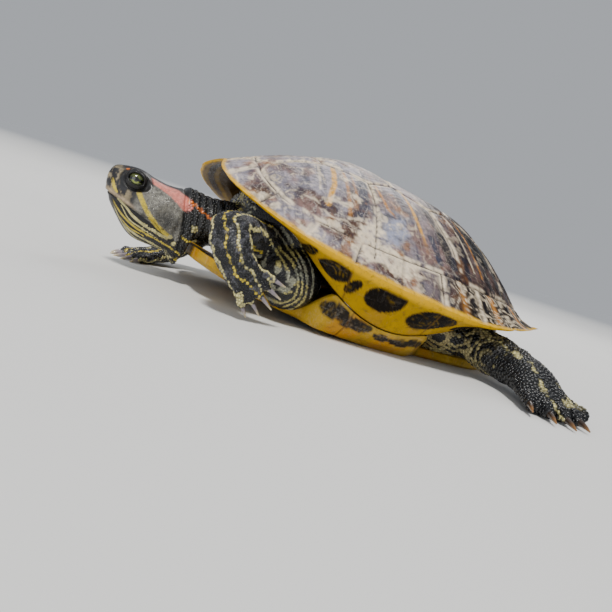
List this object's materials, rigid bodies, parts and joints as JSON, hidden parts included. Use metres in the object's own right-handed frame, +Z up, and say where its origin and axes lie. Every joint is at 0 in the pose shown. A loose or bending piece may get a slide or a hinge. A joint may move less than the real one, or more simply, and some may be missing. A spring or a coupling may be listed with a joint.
{
  "type": "red-eared slider turtle",
  "caption": "Life-size still model of a basking pond turtle with a domed shell, stretched head and neck, folded and outstretched legs.",
  "frame": {"origin": "middle of the flat that the plastron rests on, on the floor", "axes": "+Z up; the head points towards -X and the turtle's left side towards -Y; the shell is raised about 4 degrees at the front"},
  "size_m": [0.2696, 0.2623, 0.0915],
  "materials": {
    "carapace_horn": "weathered horn, satin, dark bands with pale scratchy seams",
    "plastron_horn": "yellow horn with near-black blotches, satin",
    "skin": "black beaded skin with cream and yellow stripes, damp sheen",
    "head_skin": "smooth grey-olive scales with yellow lines and a salmon-red ear stripe",
    "claw_horn": "dark brown horn, glossy",
    "eye": "wet yellow-green iris with a dark bar"
  },
  "bodies": {
    "root": {"carapace": "carapace_horn", "plastron": "plastron_horn", "trunk": "skin", "neck": "skin", "head": "head_skin", "lower_jaw": "head_skin", "eye_left": "eye", "eye_right": "eye", "tail": "skin", "foreleg_left_upper": "skin", "foreleg_left_lower": "skin", "foreleg_left_foot": "skin", "foreleg_left_claw_1": "claw_horn", "foreleg_left_claw_2": "claw_horn", "foreleg_left_claw_3": "claw_horn", "foreleg_left_claw_4": "claw_horn", "foreleg_left_claw_5": "claw_horn", "foreleg_right_upper": "skin", "foreleg_right_lower": "skin", "foreleg_right_foot": "skin", "foreleg_right_claw_1": "claw_horn", "foreleg_right_claw_2": "claw_horn", "foreleg_right_claw_3": "claw_horn", "foreleg_right_claw_4": "claw_horn", "foreleg_right_claw_5": "claw_horn", "hindleg_left_upper": "skin", "hindleg_left_lower": "skin", "hindleg_left_foot": "skin", "hindleg_left_claw_1": "claw_horn", "hindleg_left_claw_2": "claw_horn", "hindleg_left_claw_3": "claw_horn", "hindleg_left_claw_4": "claw_horn", "hindleg_right_upper": "skin", "hindleg_right_lower": "skin", "hindleg_right_foot": "skin", "hindleg_right_claw_1": "claw_horn", "hindleg_right_claw_2": "claw_horn", "hindleg_right_claw_3": "claw_horn", "hindleg_right_claw_4": "claw_horn"}
  },
  "joints": []
}
